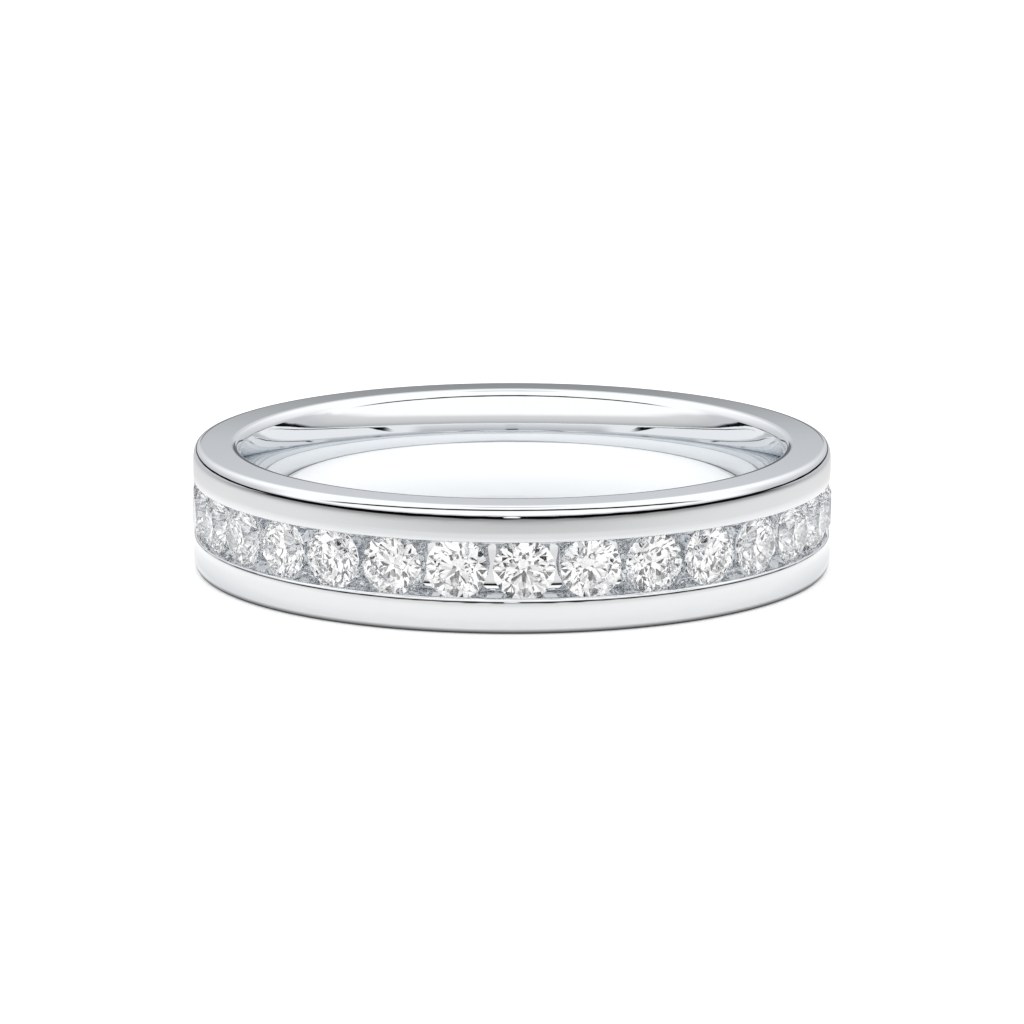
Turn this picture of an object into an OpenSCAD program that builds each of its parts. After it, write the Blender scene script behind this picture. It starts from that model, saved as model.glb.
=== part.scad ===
// Channel set band: round brilliants in a row between two rails, in a polished white gold ring.
// Millimetres, +Z up. The ring lies on its side: its axis is Z and its lower face is on z = 0.
// The middle of the row of stones looks along -Y, and the back of the ring is a plain shank.

/* [Finger] */
// Inside diameter at mid width, where the ring touches the finger
finger_d = 16.6; // [14:0.1:22]

/* [Comfort fit] */
// Half width of the straight stretch in the middle of the inside wall
fit_flat = 0.17; // [0.1:0.01:0.6]
// Radius of the swell from the straight stretch to each face
fit_r = 5.3; // [4:0.1:12]

/* [Band] */
// Metal between the finger and the point of a stone's seat
floor_t = 0.55; // [0.25:0.01:0.9]
// Width of each rail beside the opening of the channel
rail_w = 1.11; // [0.8:0.01:1.8]
// Rounding of the two outside edges
edge_r = 0.32; // [0.1:0.01:0.5]
// Rounding of the two inside edges
inner_edge_r = 0.35; // [0.08:0.01:0.5]

/* [Channel] */
// How far each lip reaches over the stones' girdles
lip_cover = 0.095; // [0.05:0.005:0.2]
// Rounding of the lips, where they meet the outside of the rails
lip_r = 0.11; // [0.04:0.01:0.16]
// Height of the bearings that the stones sit on, from the channel's floor to the girdles
bearing_h = 0.39; // [0.2:0.01:0.6]
// Room between the last girdle in the row and the end of the channel
end_gap = 0.06; // [0.04:0.01:0.3]

/* [Stones] */
// Number of stones in the row
stone_count = 15; // [7:1:17]
// Diameter of a stone at its girdle
stone_d = 1.89; // [1.4:0.01:2.4]
// Room between the girdles of two neighbours
stone_gap = 0.125; // [0.05:0.005:0.3]
// Width of the table, corner to corner, as a share of the stone's diameter
table_share = 0.56; // [0.5:0.01:0.64]
// Slope of the kites of the crown
crown_angle = 34.5; // [30:0.5:37]
// Slope of the pavilion mains
pavilion_angle = 40.8; // [39:0.1:43]
// Thickness of the girdle
girdle_t = 0.05; // [0.03:0.01:0.12]
// How far the stars reach from the table's edge to the girdle
star_share = 0.5; // [0.4:0.01:0.6]
// How far the lower halves reach from the girdle to the culet
lower_share = 0.78; // [0.6:0.01:0.85]
// How far the tables stand out past the rails
table_proud = 0.03; // [0:0.01:0.1]

/* [Fits] */
// Room between a stone's pavilion and its conical seat
seat_gap = 0.02; // [0.01:0.005:0.06]
// Room between a stone and the bearings, groove and lips
groove_gap = 0.03; // [0.02:0.005:0.06]

/* [Hidden] */
$fn = 96;
facets = 8;
step = 360 / facets;
// How far a cut runs past the metal, and how far shapes that are joined lap over each other
past = 1;
lap = 0.05;
// A lip's rounding crosses the outside of the rail at a slight angle, with its centre this share
// of its radius inside
lip_depth = 0.98;

stone_r = stone_d / 2;
table_r = table_share * stone_r;
crown_h = (stone_r - table_r) * tan(crown_angle);
pavilion_h = stone_r * tan(pavilion_angle);

// Radii from the finger outwards
in_r = finger_d / 2;
seat_tip_r = in_r + floor_t;
culet_r = seat_tip_r + seat_gap / cos(pavilion_angle);
girdle_r = culet_r + pavilion_h;
crown_r = girdle_r + girdle_t;
table_top_r = crown_r + crown_h;
out_r = table_top_r - table_proud;
floor_r = girdle_r - bearing_h;

// Heights across the band
open_w = stone_d - 2 * lip_cover;
band_w = open_w + 2 * rail_w;
mid = band_w / 2;
groove_w = stone_d + 2 * groove_gap;
bearing_tip_r = culet_r - groove_gap / cos(pavilion_angle);
bearing_top_r = bearing_tip_r + groove_w / 2 * tan(pavilion_angle);
floor_w = 2 * (floor_r - bearing_tip_r) / tan(pavilion_angle);
lip_low_r = crown_r + groove_gap / cos(crown_angle);
lip_high_r = lip_low_r + (stone_r - open_w / 2) * tan(crown_angle);

// The row's pitch, and the angle between its middle and each end of the channel
pitch = 2 * asin((stone_d + stone_gap) / 2 / girdle_r);
row_half = (stone_count - 1) / 2 * pitch;
channel_half = row_half + asin((stone_r + end_gap) / floor_r);

function two_digits(n) = str(n < 10 ? "0" : "", n);
function stone_name(n) = str("stone_", two_digits(n));
function stone_angle(n) = (n - 1) * pitch - row_half;

// Centre of an inside edge's rounding: it touches the face and, from within, the swell
edge_z = band_w - inner_edge_r;
swell_z = mid + fit_flat;
swell_r = in_r + fit_r;
edge_centre_r = swell_r - sqrt(pow(fit_r - inner_edge_r, 2) - pow(edge_z - swell_z, 2));
edge_turn = asin((edge_z - swell_z) / (fit_r - inner_edge_r));
edge_touch_r = swell_r - fit_r * cos(edge_turn);
edge_touch_z = swell_z + fit_r * sin(edge_turn);

// Draws its children twice, above and below the middle of the band
module both_sides() {
    children();
    translate([0, band_w]) mirror([0, 1]) children();
}

// Half of the band's section, from the middle up: a straight stretch, then the swell
module section_half() {
    translate([in_r, mid - lap]) square([out_r - in_r, fit_flat + lap]);
    intersection() {
        translate([in_r, swell_z - lap]) square([out_r - in_r, band_w - swell_z + lap]);
        translate([swell_r, swell_z]) circle(fit_r);
    }
}

module outside_corner() {
    difference() {
        translate([out_r - edge_r, band_w - edge_r]) square(edge_r + past);
        translate([out_r - edge_r, band_w - edge_r]) circle(edge_r);
    }
}

module inside_corner() {
    difference() {
        polygon([
            [edge_centre_r, band_w],
            [edge_centre_r, band_w + past],
            [in_r - past, band_w + past],
            [in_r - past, edge_touch_z],
            [edge_touch_r, edge_touch_z]
        ]);
        translate([edge_centre_r, edge_z]) circle(inner_edge_r);
    }
}

module band_section() {
    difference() {
        both_sides() section_half();
        both_sides() outside_corner();
        both_sides() inside_corner();
    }
}

// What the rounding takes off a lip
module lip_rounding() {
    lip_z = mid + open_w / 2;
    centre_r = out_r - lip_depth * lip_r;
    difference() {
        polygon([[centre_r, lip_z], [out_r + past, lip_z], [out_r, lip_z + lip_r]]);
        translate([centre_r, lip_z + lip_r]) circle(lip_r);
    }
}

// The channel's section: floor, bearings, groove for the girdles, lips and opening
module channel_section() {
    polygon([
        [floor_r, mid - floor_w / 2],
        [bearing_top_r, mid - groove_w / 2],
        [lip_low_r, mid - groove_w / 2],
        [lip_high_r, mid - open_w / 2],
        [out_r + past, mid - open_w / 2],
        [out_r + past, mid + open_w / 2],
        [lip_high_r, mid + open_w / 2],
        [lip_low_r, mid + groove_w / 2],
        [bearing_top_r, mid + groove_w / 2],
        [floor_r, mid + floor_w / 2]
    ]);
    both_sides() lip_rounding();
}

// Puts its children at a stone's place: Z becomes the way out, and the girdle's foot z = 0
module at_stone(n) {
    rotate([0, 0, stone_angle(n)])
        translate([0, -girdle_r, mid])
            rotate([90, 0, 0])
                children();
}

module seat() {
    depth = floor_r + lap - seat_tip_r;
    translate([0, 0, seat_tip_r - girdle_r]) cylinder(h = depth, r1 = 0, r2 = depth / tan(pavilion_angle));
}

module band() {
    color("gainsboro")
        difference() {
            rotate_extrude() band_section();
            rotate([0, 0, -90 - channel_half]) rotate_extrude(angle = 2 * channel_half) channel_section();
            for (n = [1 : stone_count]) at_stone(n) seat();
        }
}

function ring_point(r, turn, z) = [r * cos(turn), r * sin(turn), z];

// A round brilliant on its axis, with the foot of its girdle on z = 0
module brilliant() {
    table_z = girdle_t + crown_h;
    star_r = table_r * cos(step / 2) + star_share * (stone_r - table_r * cos(step / 2));
    star_z = table_z - (star_r * cos(step / 2) - table_r) * tan(crown_angle);
    lower_r = (1 - lower_share) * stone_r;
    lower_z = -(stone_r - lower_r * cos(step / 2)) * tan(pavilion_angle);
    turns = [for (i = [0 : facets - 1]) i * step];
    sides = 2 * facets;
    points = concat(
        [for (a = turns) ring_point(table_r, a, table_z)],
        [for (a = turns) ring_point(star_r, a + step / 2, star_z)],
        [for (i = [0 : sides - 1]) ring_point(stone_r, i * step / 2, girdle_t)],
        [for (i = [0 : sides - 1]) ring_point(stone_r, i * step / 2, 0)],
        [for (a = turns) ring_point(lower_r, a + step / 2, lower_z)],
        [[0, 0, -pavilion_h]]
    );
    function table(i) = i % facets;
    function star(i) = facets + i % facets;
    function upper(i) = 2 * facets + i % sides;
    function lower(i) = 2 * facets + sides + i % sides;
    function half(i) = 2 * facets + 2 * sides + i % facets;
    culet = 3 * facets + 2 * sides;
    faces = concat(
        [[for (i = [facets - 1 : -1 : 0]) table(i)]],
        [for (i = [0 : facets - 1]) [table(i), table(i + 1), star(i)]],
        [for (i = [0 : facets - 1]) [table(i), star(i), upper(2 * i), star(i + facets - 1)]],
        [for (i = [0 : facets - 1]) [star(i), upper(2 * i + 1), upper(2 * i)]],
        [for (i = [0 : facets - 1]) [star(i), upper(2 * i + 2), upper(2 * i + 1)]],
        [for (i = [0 : sides - 1]) [upper(i), upper(i + 1), lower(i + 1), lower(i)]],
        [for (i = [0 : facets - 1]) [half(i), lower(2 * i), lower(2 * i + 1)]],
        [for (i = [0 : facets - 1]) [half(i), lower(2 * i + 1), lower(2 * i + 2)]],
        [for (i = [0 : facets - 1]) [culet, half(i + facets - 1), lower(2 * i), half(i)]]
    );
    polyhedron(points, faces);
}

module stone(n) {
    color("white") at_stone(n) brilliant();
}

band();
for (n = [1 : stone_count]) stone(n);
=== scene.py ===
"""Channel set band: a polished white gold ring with round brilliants between two rails, lying on
its side on a white sweep. Sizes are in millimetres until a piece is finished, and then in metres."""
from math import asin, cos, degrees, pi, radians, sin, tan

import bpy
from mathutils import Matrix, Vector


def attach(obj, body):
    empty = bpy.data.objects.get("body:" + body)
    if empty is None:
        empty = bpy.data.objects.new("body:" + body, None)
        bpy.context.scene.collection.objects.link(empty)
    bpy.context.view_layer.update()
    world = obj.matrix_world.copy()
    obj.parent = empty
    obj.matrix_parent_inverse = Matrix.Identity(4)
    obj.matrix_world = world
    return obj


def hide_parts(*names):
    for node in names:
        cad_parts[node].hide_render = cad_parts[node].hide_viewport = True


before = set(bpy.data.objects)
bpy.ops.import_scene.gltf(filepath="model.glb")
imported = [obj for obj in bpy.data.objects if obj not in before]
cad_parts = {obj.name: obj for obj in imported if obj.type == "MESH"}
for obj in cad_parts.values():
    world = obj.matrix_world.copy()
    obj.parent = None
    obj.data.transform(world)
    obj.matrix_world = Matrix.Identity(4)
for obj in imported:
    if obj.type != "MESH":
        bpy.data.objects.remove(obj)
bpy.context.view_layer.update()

MM = 0.001


# Sizes of the ring, in millimetres, as in the part's source

FINGER_D = 16.6          # inside diameter at mid width
FLOOR_T = 0.55           # metal under the point of a seat
RAIL_W = 1.11            # each rail beside the opening
LIP_COVER = 0.095        # how far the lips reach over the girdles
BEARING_H = 0.39         # from the channel's floor to the girdles
END_GAP = 0.06           # from the last girdle to the channel's end
STONE_COUNT = 15
STONE_D = 1.89
STONE_GAP = 0.125        # between the girdles of two neighbours
TABLE_SHARE = 0.56
CROWN_ANGLE = radians(34.5)
PAVILION_ANGLE = radians(40.8)
GIRDLE_T = 0.05
TABLE_PROUD = 0.03       # how far the tables stand out past the rails
SEAT_GAP = 0.02          # between a pavilion and its seat
GROOVE_GAP = 0.03        # between a girdle and its groove

STONE_R = STONE_D / 2
CROWN_H = (1 - TABLE_SHARE) * STONE_R * tan(CROWN_ANGLE)
IN_R = FINGER_D / 2
SEAT_TIP_R = IN_R + FLOOR_T
CULET_R = SEAT_TIP_R + SEAT_GAP / cos(PAVILION_ANGLE)
GIRDLE_R = CULET_R + STONE_R * tan(PAVILION_ANGLE)
CROWN_R = GIRDLE_R + GIRDLE_T
OUT_R = CROWN_R + CROWN_H - TABLE_PROUD
FLOOR_R = GIRDLE_R - BEARING_H
OPEN_W = STONE_D - 2 * LIP_COVER
BAND_W = OPEN_W + 2 * RAIL_W
MID = BAND_W / 2
GROOVE_W = STONE_D + 2 * GROOVE_GAP
LIP_LOW_R = CROWN_R + GROOVE_GAP / cos(CROWN_ANGLE)
LIP_HIGH_R = LIP_LOW_R + (STONE_R - OPEN_W / 2) * tan(CROWN_ANGLE)
PITCH = 2 * asin((STONE_D + STONE_GAP) / 2 / GIRDLE_R)
ROW_HALF = (STONE_COUNT - 1) / 2 * PITCH
CHANNEL_HALF = ROW_HALF + asin((STONE_R + END_GAP) / FLOOR_R)

# The inside wall from its middle up to the face, as a chain of arcs: how far each leans from upright
# at its end, in degrees, and its radius. It swells for the finger, turns over the edge, and runs out
# into the face along a soft shoulder.
INSIDE_ARCS = (
    (10, 6.3), (12.5, 12), (31, 0.31), (40, 0.70), (60, 0.22), (78, 0.13), (86, 0.39), (90, 1.0),
)

# The outside edges are polished softly: the curve starts gently on each face, and it reaches
# further down the rail than across the top
EDGE_ACROSS = 0.27
EDGE_DOWN = 0.56
EDGE_POWER = 2.8

# The lips leave the rails as slowly, and turn into the opening: the same two values for each arc
LIP_ARCS = ((5.3, 1.6), (7.7, 1.2), (15, 0.40), (90, 0.06))

# Between the seats the channel has a flat floor, whose corners rise through arcs to a slope that
# ends in a ledge at the girdles
CHANNEL_FLAT = 0.43      # half width of the floor
CORNER_ARCS = ((5.3, 1.1), (7.7, 1.5), (23, 0.32), (31, 0.085), (55, 0.15))
CHANNEL_SIDE = 0.93      # half width at the ledges
LEDGE_R = 9.66           # from the ring's axis to the ledges

# Fineness of the model
TURN_STEPS = 144         # steps of each of the ring's two spins
ARC_STEP = 2.5           # degrees between the points of an arc
ARC_LEAST = 3            # steps of even the shortest arc
EDGE_STEPS = 36          # steps of an outside edge
HOLD = 0.012             # strip beside a curve that keeps the flat next to it even
WELD = 0.0005            # points nearer than this are one
SEAT_SIDES = 72
SEAT_PAST = 0.05         # how far a seat's cutter stands out past the channel's floor
SHARP = radians(30)      # edges that turn more than this stay crisp


# Camera, where the photograph was taken from. Sizes in millimetres.

CAMERA_TURN = radians(-2.14)
CAMERA_RISE = radians(11.987)
CAMERA_AWAY = 187.28     # from the lens to the point that it looks at
AIM_HEIGHT = 1.645       # of that point above the floor, on the ring's axis
FOCAL_LENGTH = 209.35
SENSOR_WIDTH = 36
NEAREST_SHOWN = 10


def place_camera():
    back = Vector((
        sin(CAMERA_TURN) * cos(CAMERA_RISE), -cos(CAMERA_TURN) * cos(CAMERA_RISE), sin(CAMERA_RISE),
    ))
    lens = bpy.data.cameras.new("photo_camera")
    lens.lens = FOCAL_LENGTH
    lens.sensor_width = SENSOR_WIDTH
    lens.clip_start = NEAREST_SHOWN * MM
    camera = bpy.data.objects.new("photo_camera", lens)
    bpy.context.scene.collection.objects.link(camera)
    camera.location = Vector((0, 0, AIM_HEIGHT * MM)) + back * CAMERA_AWAY * MM
    camera.rotation_euler = back.to_track_quat("Z", "Y").to_euler()
    bpy.context.scene.camera = camera


# Colours, nodes and materials

def linear(code):
    """The linear colour, with alpha, of an sRGB hex code such as "E8E8EA"."""
    parts = [int(code[i:i + 2], 16) / 255 for i in (0, 2, 4)]
    return [p / 12.92 if p <= 0.04045 else ((p + 0.055) / 1.055) ** 2.4 for p in parts] + [1.0]


def add_node(tree, kind, sockets=None, **settings):
    """Adds a node of a kind, sets it, and fills its inputs with values or with what feeds them."""
    new = tree.nodes.new("ShaderNode" + kind)
    for name, value in settings.items():
        setattr(new, name, value)
    for key, value in (sockets or {}).items():
        if isinstance(value, bpy.types.NodeSocket):
            tree.links.new(value, new.inputs[key])
        else:
            new.inputs[key].default_value = value
    return new


def set_stops(ramp, stops):
    """Gives a colour ramp its stops, as (place, hex code)."""
    elements = ramp.color_ramp.elements
    while len(elements) < len(stops):
        elements.new(0.5)
    for element, (place, code) in zip(elements, stops):
        element.position = place
        element.color = linear(code)


def empty_material(name):
    """A material with no nodes yet, and its node tree."""
    material = bpy.data.materials.new(name)
    material.use_nodes = True
    material.node_tree.nodes.clear()
    return material, material.node_tree


# Light: a white tent around the ring, with a dark gap over the floor and a dark beam across it

TENT_STRENGTH = 1.25

# Colours of the cloth by height, in degrees above level. On the camera's side it is grey low down
# and white above, behind the ring it brightens slowly upwards, and straight behind the ring it is
# darker low down.
NEAR_CLOTH = ((3.8, "B0B0B0"), (5, "C8C8C8"), (7, "D6D6D6"), (8.2, "FFFFFF"))
FAR_CLOTH = (
    (4, "C2C3C6"), (9, "C8C9CC"), (12, "CDCED0"), (16, "D6D6D8"), (25, "EAEAEC"), (38, "FFFFFF"),
)
STRAIGHT_BEHIND = (
    (10.0, "646668"), (10.77, "6E7072"), (10.85, "8A8C8E"), (10.96, "A0A2A4"), (11.04, "ACAEB0"),
    (11.12, "B6B8BA"), (11.31, "BBBDC0"), (11.51, "C2C4C7"), (11.89, "C7C9CC"), (16, "CED0D2"),
    (24, "DEDFE0"), (34, "F0F0F0"), (44, "FFFFFF"),
)

# The gap between the floor and the cloth, by the angle aside from the camera: black on the camera's
# side, and grey behind the ring
GAP_AROUND = (
    (72, "050505"), (90, "101216"), (140, "101216"), (160, "505458"), (180, "808488"),
)
TOP_COLOUR = "CED0D3"
BEAM_COLOUR = "080808"
LAMP_COLOUR = "FFFFFF"

# Soft edges between the parts of the tent: the degrees where each starts and ends
NEAR_TO_FAR = (85, 105)          # aside from the camera
FAR_TO_BEHIND = (173, 176.5)
TOP_EDGE = (78, 83)              # above level
GAP_EDGE = (3.1, 3.8)
BEAM_LOWER_EDGE = (34, 35)       # above level, on a slope towards the camera
BEAM_UPPER_EDGE = (48.5, 49.5)
BEAM_ENDS = (62, 76)             # aside from the camera
LAMP_EDGE = (3.3, 2.4)           # from the lamp's middle


def tent_cloth(tree, rise, aside):
    """The cloth's colour by how high and how far aside from the camera a direction points."""
    place = add_node(tree, "MapRange", {
        "Value": rise.outputs[0], "From Min": -pi / 2, "From Max": pi / 2,
    })
    sides = []
    for heights in (NEAR_CLOTH, FAR_CLOTH, STRAIGHT_BEHIND):
        side = add_node(tree, "ValToRGB", {0: place.outputs[0]})
        set_stops(side, [((height + 90) / 180, code) for height, code in heights])
        sides.append(side)
    near, far, low = sides
    share = add_node(tree, "MapRange", {
        "Value": aside.outputs[0],
        "From Min": radians(NEAR_TO_FAR[0]), "From Max": radians(NEAR_TO_FAR[1]),
    }, interpolation_type="SMOOTHSTEP")
    cloth = add_node(tree, "Mix", {
        0: share.outputs[0], 6: near.outputs[0], 7: far.outputs[0],
    }, data_type="RGBA")
    share = add_node(tree, "MapRange", {
        "Value": aside.outputs[0],
        "From Min": radians(FAR_TO_BEHIND[0]), "From Max": radians(FAR_TO_BEHIND[1]),
    }, interpolation_type="SMOOTHSTEP")
    cloth = add_node(tree, "Mix", {
        0: share.outputs[0], 6: cloth.outputs[2], 7: low.outputs[0],
    }, data_type="RGBA")
    # The round top of the tent is of thicker cloth, which shows in faces seen from straight above
    top = add_node(tree, "MapRange", {
        "Value": rise.outputs[0],
        "From Min": radians(TOP_EDGE[0]), "From Max": radians(TOP_EDGE[1]),
    }, interpolation_type="SMOOTHSTEP")
    return add_node(tree, "Mix", {
        0: top.outputs[0], 6: cloth.outputs[2], 7: linear(TOP_COLOUR),
    }, data_type="RGBA")


def dark_beam(tree, cloth, slope, aside):
    """A dark beam straight across the tent on the camera's side, from left to right."""
    beam = add_node(tree, "MapRange", {
        "Value": slope.outputs[0],
        "From Min": radians(BEAM_LOWER_EDGE[0]), "From Max": radians(BEAM_LOWER_EDGE[1]),
    }, interpolation_type="SMOOTHSTEP")
    for value, (first, last) in ((slope, BEAM_UPPER_EDGE), (aside, BEAM_ENDS)):
        side = add_node(tree, "MapRange", {
            "Value": value.outputs[0], "From Min": radians(first), "From Max": radians(last),
            "To Min": 1.0, "To Max": 0.0,
        }, interpolation_type="SMOOTHSTEP")
        beam = add_node(tree, "Math", {0: beam.outputs[0], 1: side.outputs[0]}, operation="MULTIPLY")
    return add_node(tree, "Mix", {
        0: beam.outputs[0], 6: cloth.outputs[2], 7: linear(BEAM_COLOUR),
    }, data_type="RGBA")


def gap_at_the_floor(tree, cloth, rise, aside):
    around = add_node(tree, "MapRange", {"Value": aside.outputs[0], "From Max": pi})
    gap = add_node(tree, "ValToRGB", {0: around.outputs[0]})
    set_stops(gap, [(turn / 180, code) for turn, code in GAP_AROUND])
    above = add_node(tree, "MapRange", {
        "Value": rise.outputs[0],
        "From Min": radians(GAP_EDGE[0]), "From Max": radians(GAP_EDGE[1]),
    }, interpolation_type="SMOOTHSTEP")
    return add_node(tree, "Mix", {
        0: above.outputs[0], 6: gap.outputs[0], 7: cloth.outputs[2],
    }, data_type="RGBA")


def small_lamp(tree, tent, direction):
    """A small lamp on the camera's side, level with the ring."""
    towards = add_node(tree, "VectorMath", {
        0: direction.outputs["Generated"], 1: (sin(CAMERA_TURN), -cos(CAMERA_TURN), 0),
    }, operation="DOT_PRODUCT")
    lamp = add_node(tree, "MapRange", {
        "Value": towards.outputs["Value"],
        "From Min": cos(radians(LAMP_EDGE[0])), "From Max": cos(radians(LAMP_EDGE[1])),
    }, interpolation_type="SMOOTHSTEP")
    return add_node(tree, "Mix", {
        0: lamp.outputs[0], 6: tent.outputs[2], 7: linear(LAMP_COLOUR),
    }, data_type="RGBA")


def light_tent():
    world = bpy.data.worlds.new("light_tent")
    bpy.context.scene.world = world
    world.use_nodes = True
    tree = world.node_tree
    tree.nodes.clear()
    # Directions are turned with the camera, so that it stands at -Y
    direction = add_node(tree, "TexCoord")
    facing = add_node(tree, "VectorRotate", {
        "Vector": direction.outputs["Generated"], "Angle": -CAMERA_TURN,
    }, rotation_type="Z_AXIS")
    axes = add_node(tree, "SeparateXYZ", {0: facing.outputs[0]})
    rise = add_node(tree, "Math", {0: axes.outputs["Z"]}, operation="ARCSINE")
    ahead = add_node(tree, "Math", {0: axes.outputs["Y"], 1: -1.0}, operation="MULTIPLY")
    turn = add_node(tree, "Math", {0: axes.outputs["X"], 1: ahead.outputs[0]}, operation="ARCTAN2")
    aside = add_node(tree, "Math", {0: turn.outputs[0]}, operation="ABSOLUTE")
    slope = add_node(tree, "Math", {0: axes.outputs["Z"], 1: ahead.outputs[0]}, operation="ARCTAN2")

    tent = tent_cloth(tree, rise, aside)
    tent = dark_beam(tree, tent, slope, aside)
    tent = gap_at_the_floor(tree, tent, rise, aside)
    tent = small_lamp(tree, tent, direction)
    glow = add_node(tree, "Background", {"Color": tent.outputs[2], "Strength": TENT_STRENGTH})
    add_node(tree, "OutputWorld", {"Surface": glow.outputs[0]})


# Floor: a white paper sweep, flat under the ring and curved up all round it, which only the camera
# sees, and the pool of light on it, which only the metal and the stones see. Sizes in metres.

FLOOR_SIDES = 96
SWEEP_R = 0.34           # flat part
SWEEP_BEND = 0.12        # radius of the bend round it
SWEEP_STEPS = 12
SWEEP_WALL = 0.5         # height of the wall above the bend
SWEEP_GLOW = 0.26
POOL_R = 0.15
POOL_UNDER = 0.00001     # the pool lies this far under the paper

# The pool's glow, and its colours by the distance from its middle, in millimetres
POOL_GLOW = 0.35
POOL_OVAL = (0.8, 1.0, 0.0)      # the pool reaches further to the sides
POOL_REACH = 80
POOL_FALL = (
    (0, "FFFFFF"), (7.8, "FFFFFF"), (8.3, "DCDDDE"), (9, "E6E6E6"), (10, "EDECEB"), (13, "E7E6E5"),
    (14.6, "DFDEDD"), (17.7, "D2D1D0"), (20, "D1D0CF"), (22, "CBCAC9"), (23.5, "C5C4C3"),
    (24.8, "BDBCBB"), (25.6, "B8B7B6"), (29.5, "A2A1A0"), (34, "92918F"), (45, "868584"),
    (55, "444342"), (62, "080808"),
)
BEHIND_FADE = (4, 30)            # behind the ring's axis
BEHIND_COLOUR = "B4B4B6"
SHADE_INSIDE = (8.5, 8.8)        # edges of the strip under the ring, from the ring's axis
SHADE_OUTSIDE = (9.8, 10.2)
SHADE_COLOUR = "404040"


def hide_from(piece, *rays):
    for ray in rays:
        setattr(piece, "visible_" + ray, False)


def paper_sweep():
    bpy.ops.object.select_all(action="DESELECT")
    bpy.ops.mesh.primitive_circle_add(vertices=FLOOR_SIDES, radius=SWEEP_R, fill_type="NGON")
    sweep = bpy.context.object
    sweep.name = "paper_sweep"
    bpy.ops.object.mode_set(mode="EDIT")
    bpy.ops.mesh.select_mode(type="EDGE")
    bpy.ops.mesh.select_all(action="SELECT")
    bpy.ops.mesh.region_to_loop()
    for step in range(SWEEP_STEPS):
        turn = step / SWEEP_STEPS * pi / 2
        next_turn = (step + 1) / SWEEP_STEPS * pi / 2
        up = SWEEP_BEND * (cos(turn) - cos(next_turn))
        wider = (SWEEP_R + SWEEP_BEND * sin(next_turn)) / (SWEEP_R + SWEEP_BEND * sin(turn))
        bpy.ops.mesh.extrude_region_move(TRANSFORM_OT_translate={"value": (0, 0, up)})
        bpy.ops.transform.resize(value=(wider, wider, 1), center_override=(0, 0, 0))
    bpy.ops.mesh.extrude_region_move(TRANSFORM_OT_translate={"value": (0, 0, SWEEP_WALL)})
    bpy.ops.object.mode_set(mode="OBJECT")
    bpy.ops.object.shade_smooth()
    hide_from(sweep, "glossy", "transmission", "diffuse", "shadow")
    sweep.data.materials.append(matt_white_card())


def matt_white_card():
    """Matt card: an even white. Its fibres are drawn about 1 mm long, because real ones are too
    fine to show."""
    card, tree = empty_material("matt_white_card")
    place = add_node(tree, "TexCoord")
    fibres = add_node(tree, "TexNoise", {
        "Vector": place.outputs["Object"], "Scale": 900.0, "Detail": 3.0,
    })
    tint = add_node(tree, "MapRange", {"Value": fibres.outputs[0], "To Min": 0.93, "To Max": 0.95})
    cloth = add_node(tree, "BsdfDiffuse", {"Color": tint.outputs[0]})
    lift = add_node(tree, "Emission", {"Strength": SWEEP_GLOW})
    total = add_node(tree, "AddShader", {0: cloth.outputs[0], 1: lift.outputs[0]})
    add_node(tree, "OutputMaterial", {"Surface": total.outputs[0]})
    return card


def light_pool():
    """The floor as the metal mirrors it: white round the ring, darker further out."""
    bpy.ops.object.select_all(action="DESELECT")
    bpy.ops.mesh.primitive_circle_add(
        vertices=FLOOR_SIDES, radius=POOL_R, fill_type="NGON", location=(0, 0, -POOL_UNDER))
    pool = bpy.context.object
    pool.name = "light_pool"
    bpy.ops.object.transform_apply(location=True)
    hide_from(pool, "camera", "diffuse", "shadow")
    pool.data.materials.append(card_in_a_pool_of_light())


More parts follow.
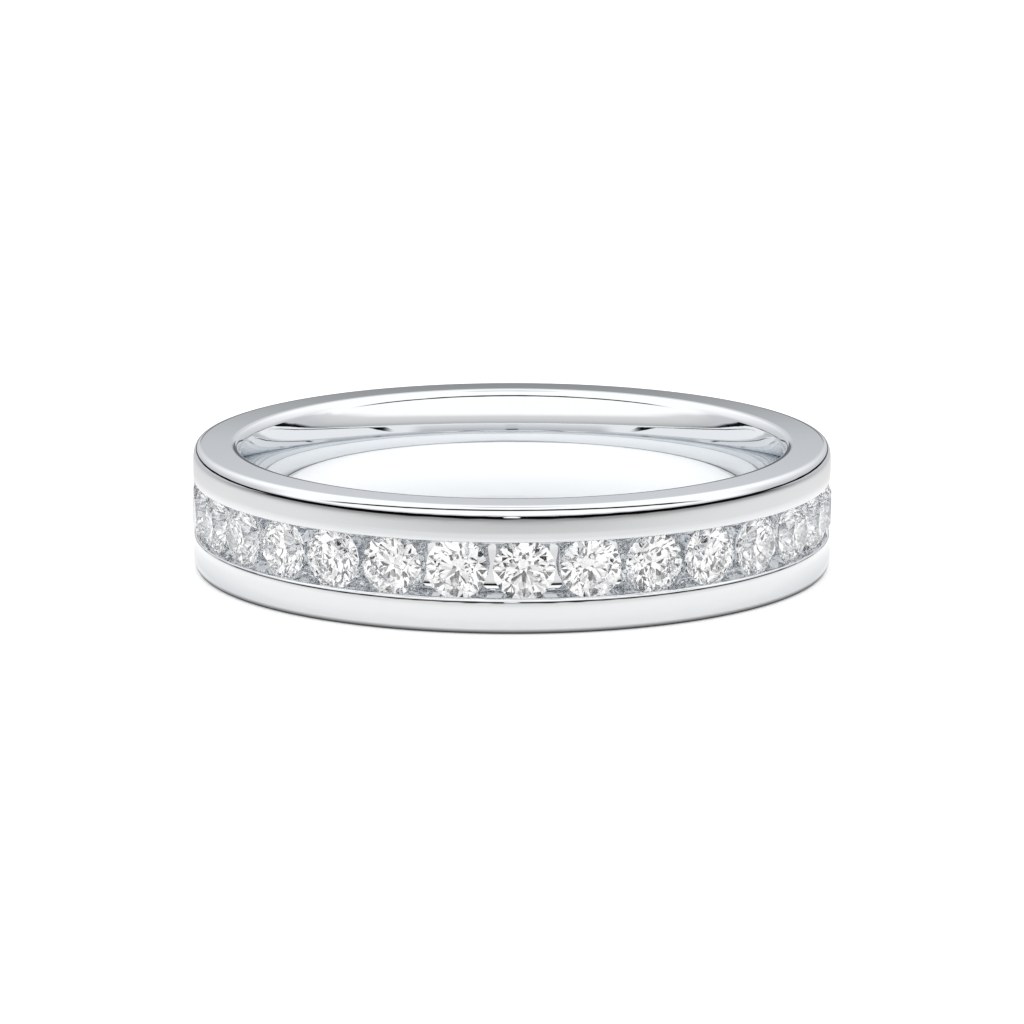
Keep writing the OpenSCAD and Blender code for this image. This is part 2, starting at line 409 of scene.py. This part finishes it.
def card_in_a_pool_of_light():
    """White card where the lamps fall on it: bright in an oval round the ring, grey behind it, and
    in shade under it."""
    card, tree = empty_material("white_card_in_a_pool_of_light")
    place = add_node(tree, "TexCoord")
    oval = add_node(tree, "Mapping", {"Vector": place.outputs["Object"], "Scale": POOL_OVAL})
    far = add_node(tree, "VectorMath", {0: oval.outputs[0]}, operation="LENGTH")
    share = add_node(tree, "MapRange", {
        "Value": far.outputs["Value"], "From Min": 0.0, "From Max": POOL_REACH * MM,
    })
    fall = add_node(tree, "ValToRGB", {0: share.outputs[0]})
    set_stops(fall, [(reach / POOL_REACH, code) for reach, code in POOL_FALL])
    # Behind the ring the floor runs on to the cloth in one grey
    axes = add_node(tree, "SeparateXYZ", {0: place.outputs["Object"]})
    behind = add_node(tree, "MapRange", {
        "Value": axes.outputs["Y"],
        "From Min": BEHIND_FADE[0] * MM, "From Max": BEHIND_FADE[1] * MM,
    }, interpolation_type="SMOOTHSTEP")
    fall = add_node(tree, "Mix", {
        0: behind.outputs[0], 6: fall.outputs[0], 7: linear(BEHIND_COLOUR),
    }, data_type="RGBA")
    # The strip under the ring is in its shade
    flat = add_node(tree, "Mapping", {"Vector": place.outputs["Object"], "Scale": (1.0, 1.0, 0.0)})
    out = add_node(tree, "VectorMath", {0: flat.outputs[0]}, operation="LENGTH")
    inner = add_node(tree, "MapRange", {
        "Value": out.outputs["Value"],
        "From Min": SHADE_INSIDE[0] * MM, "From Max": SHADE_INSIDE[1] * MM,
    }, interpolation_type="SMOOTHSTEP")
    outer = add_node(tree, "MapRange", {
        "Value": out.outputs["Value"],
        "From Min": SHADE_OUTSIDE[0] * MM, "From Max": SHADE_OUTSIDE[1] * MM,
        "To Min": 1.0, "To Max": 0.0,
    }, interpolation_type="SMOOTHSTEP")
    under = add_node(tree, "Math", {0: inner.outputs[0], 1: outer.outputs[0]}, operation="MULTIPLY")
    shaded = add_node(tree, "Mix", {
        0: under.outputs[0], 6: fall.outputs[2], 7: linear(SHADE_COLOUR),
    }, data_type="RGBA")
    cloth = add_node(tree, "BsdfDiffuse", {"Color": shaded.outputs[2]})
    lift = add_node(tree, "Emission", {"Color": shaded.outputs[2], "Strength": POOL_GLOW})
    total = add_node(tree, "AddShader", {0: cloth.outputs[0], 1: lift.outputs[0]})
    add_node(tree, "OutputMaterial", {"Surface": total.outputs[0]})
    return card


# Band

def chain(place, arcs, across=1, along=1):
    """Points along a chain of arcs that starts upright at a place in the ring's section, given as
    (distance from the axis, height), and leans more and more across."""
    (r, z), lean, points = place, 0.0, []
    for reach, size in arcs:
        end = radians(reach)
        steps = max(ARC_LEAST, round(degrees(end - lean) / ARC_STEP))
        for i in range(1, steps + 1):
            turn = lean + (end - lean) * i / steps
            points.append((r + across * size * (cos(lean) - cos(turn)),
                           z + along * size * (sin(turn) - sin(lean))))
        (r, z), lean = points[-1], end
    return points


def length_of(arcs):
    """How far a chain of arcs reaches along the direction that it starts in."""
    leans = [0.0] + [radians(lean) for lean, _ in arcs]
    return sum(size * (sin(leans[i + 1]) - sin(leans[i])) for i, (_, size) in enumerate(arcs))


def soft_curve(centre, across, down, power, steps):
    """Points of a quarter of an oval, from straight above its centre to straight outwards, whose
    ends are straighter than an ellipse's."""
    points = []
    for i in range(steps + 1):
        turn = pi / 2 * i / steps
        points.append((centre[0] + across * max(0, sin(turn)) ** (2 / power),
                       centre[1] + down * max(0, cos(turn)) ** (2 / power)))
    return points


def inside_to_rail():
    """The upper half of the section from the inside wall's middle, over the top, to the lip."""
    foot = (IN_R, BAND_W - length_of(INSIDE_ARCS))
    points = [(IN_R, MID), foot] + chain(foot, INSIDE_ARCS)
    edge_r = points[-1][0]
    corner_r, corner_z = OUT_R - EDGE_ACROSS, BAND_W - EDGE_DOWN
    points += [(edge_r + HOLD, BAND_W), (corner_r - HOLD, BAND_W)]
    points += soft_curve((corner_r, corner_z), EDGE_ACROSS, EDGE_DOWN, EDGE_POWER, EDGE_STEPS)
    lip_start = MID + OPEN_W / 2 + length_of(LIP_ARCS)
    points += [(OUT_R, corner_z - HOLD), (OUT_R, lip_start + HOLD), (OUT_R, lip_start)]
    return points


def lip_to_floor():
    """The upper half of the channel's section, from the rail to the middle of its floor."""
    lip_z = MID + OPEN_W / 2
    points = chain((OUT_R, lip_z + length_of(LIP_ARCS)), LIP_ARCS, across=-1, along=-1)
    points += [
        (LIP_HIGH_R, lip_z), (LIP_LOW_R, MID + GROOVE_W / 2), (LEDGE_R, MID + GROOVE_W / 2),
        (LEDGE_R, MID + CHANNEL_SIDE),
    ]
    points += chain((FLOOR_R, MID + CHANNEL_FLAT), CORNER_ARCS)[::-1]
    points += [(FLOOR_R, MID + CHANNEL_FLAT), (FLOOR_R, MID + CHANNEL_FLAT - HOLD), (FLOOR_R, MID)]
    return points


def mirrored(half):
    """A half section, and then its other half back from the end."""
    return half + [(r, BAND_W - z) for r, z in reversed(half[:-1])]


def draw_and_spin(name, points, start, sweep):
    """Draws a section point by point at an angle from X, and spins it about the ring's axis. The
    spin's own angle counts the other way round."""
    bpy.ops.object.select_all(action="DESELECT")
    bpy.ops.mesh.primitive_plane_add(size=1)
    piece = bpy.context.object
    piece.name = name
    places = [Vector((r * cos(start), r * sin(start), z)) for r, z in points]
    bpy.ops.object.mode_set(mode="EDIT")
    bpy.ops.mesh.select_mode(type="VERT")
    bpy.ops.mesh.select_all(action="SELECT")
    bpy.ops.mesh.merge(type="CENTER")
    bpy.ops.transform.translate(value=places[0])
    for a, b in zip(places, places[1:]):
        bpy.ops.mesh.extrude_region_move(TRANSFORM_OT_translate={"value": b - a})
    bpy.ops.mesh.select_all(action="SELECT")
    bpy.ops.mesh.spin(steps=TURN_STEPS, angle=-sweep, center=(0, 0, 0), axis=(0, 0, 1))
    bpy.ops.object.mode_set(mode="OBJECT")
    return piece


def select_only(pieces):
    bpy.ops.object.select_all(action="DESELECT")
    for piece in pieces:
        piece.select_set(True)
    bpy.context.view_layer.objects.active = pieces[0]


def join(pieces):
    select_only(pieces)
    bpy.ops.object.join()
    return pieces[0]


def seat_cutter():
    """The conical seats of all the stones, their points towards the finger."""
    depth = FLOOR_R + SEAT_PAST - SEAT_TIP_R
    bpy.ops.object.select_all(action="DESELECT")
    bpy.ops.mesh.primitive_cone_add(
        vertices=SEAT_SIDES, radius1=depth / tan(PAVILION_ANGLE), radius2=0, depth=depth,
        location=(0, -(SEAT_TIP_R + depth / 2), MID), rotation=(-pi / 2, 0, 0))
    bpy.ops.object.transform_apply(location=True, rotation=True)
    first = bpy.context.object
    cones = []
    for n in range(STONE_COUNT):
        cone = first.copy()
        cone.data = first.data.copy()
        cone.rotation_euler = (0, 0, n * PITCH - ROW_HALF)
        bpy.context.scene.collection.objects.link(cone)
        cones.append(cone)
    bpy.data.objects.remove(first)
    select_only(cones)
    bpy.ops.object.transform_apply(rotation=True)
    return join(cones)


def make_band(metal):
    around = mirrored(inside_to_rail()[::-1])
    channel = mirrored(lip_to_floor())[::-1]
    start = -pi / 2 - CHANNEL_HALF
    end = -pi / 2 + CHANNEL_HALF
    # The front half has the channel, and the back half runs straight across from lip to lip
    front = draw_and_spin("polished_band", around + channel + around[:1], start, 2 * CHANNEL_HALF)
    back = draw_and_spin("shank", around + around[:1], end, 2 * (pi - CHANNEL_HALF))
    band = join([front, back])
    bpy.ops.object.mode_set(mode="EDIT")
    bpy.ops.mesh.select_all(action="SELECT")
    bpy.ops.mesh.remove_doubles(threshold=WELD)
    # The channel's two ends are the holes that are left
    bpy.ops.mesh.fill_holes(sides=0)
    bpy.ops.mesh.normals_make_consistent(inside=False)
    bpy.ops.object.mode_set(mode="OBJECT")

    cutter = seat_cutter()
    select_only([band])
    bpy.ops.object.modifier_add(type="BOOLEAN")
    cut = band.modifiers[-1]
    cut.operation = "DIFFERENCE"
    cut.solver = "EXACT"
    cut.object = cutter
    bpy.ops.object.modifier_apply(modifier=cut.name)
    bpy.data.objects.remove(cutter)

    bpy.ops.object.mode_set(mode="EDIT")
    bpy.ops.mesh.select_all(action="SELECT")
    bpy.ops.transform.resize(value=(MM, MM, MM), center_override=(0, 0, 0))
    bpy.ops.object.mode_set(mode="OBJECT")
    bpy.ops.object.shade_smooth_by_angle(angle=SHARP)
    band.data.materials.append(metal)
    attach(band, "root")
    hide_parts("band")


# Materials of the ring

def polished_white_gold():
    """White gold under rhodium, polished to a mirror: a cool bright grey, with a faint haze that
    comes and goes over a few tenths of a millimetre, where the wheel left it less smooth."""
    metal, tree = empty_material("rhodium_plated_white_gold")
    place = add_node(tree, "TexCoord")
    haze = add_node(tree, "TexNoise", {
        "Vector": place.outputs["Object"], "Scale": 2500.0, "Detail": 2.0,
    })
    rough = add_node(tree, "MapRange", {"Value": haze.outputs[0], "To Min": 0.012, "To Max": 0.035})
    surface = add_node(tree, "BsdfPrincipled", {
        "Base Color": linear("E6E8EA"), "Metallic": 1.0, "Roughness": rough.outputs[0],
    })
    add_node(tree, "OutputMaterial", {"Surface": surface.outputs[0]})
    return metal


def cut_diamond():
    """Diamond, cut and polished: flat mirrors that bend light far more than glass, so the facets
    turn white or black as they catch the tent or its dark gap. Its growth leaves a trace of blue
    that comes and goes over two thirds of a millimetre."""
    diamond, tree = empty_material("cut_diamond")
    place = add_node(tree, "TexCoord")
    growth = add_node(tree, "TexNoise", {
        "Vector": place.outputs["Object"], "Scale": 1500.0, "Detail": 2.0,
    })
    tint = add_node(tree, "Mix", {
        0: growth.outputs[0], 6: linear("FFFFFF"), 7: linear("F9FAFC"),
    }, data_type="RGBA")
    surface = add_node(tree, "BsdfPrincipled", {
        "Base Color": tint.outputs[2], "Roughness": 0.0, "IOR": 2.417, "Transmission Weight": 1.0,
    })
    add_node(tree, "OutputMaterial", {"Surface": surface.outputs[0]})
    return diamond


def finish_stones(diamond):
    """The stones keep their own solids, and take the finish of diamond."""
    for n in range(1, STONE_COUNT + 1):
        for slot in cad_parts["stone_%02d" % n].material_slots:
            slot.material = diamond


place_camera()
light_tent()
paper_sweep()
light_pool()
make_band(polished_white_gold())
finish_stones(cut_diamond())

# Light goes round the inside wall and through the stones many times
LIGHT_BOUNCES = 32
scene = bpy.context.scene
scene.cycles.max_bounces = LIGHT_BOUNCES
scene.cycles.glossy_bounces = LIGHT_BOUNCES
scene.cycles.transmission_bounces = LIGHT_BOUNCES
scene.view_settings.view_transform = "Standard"
scene.view_settings.look = "None"
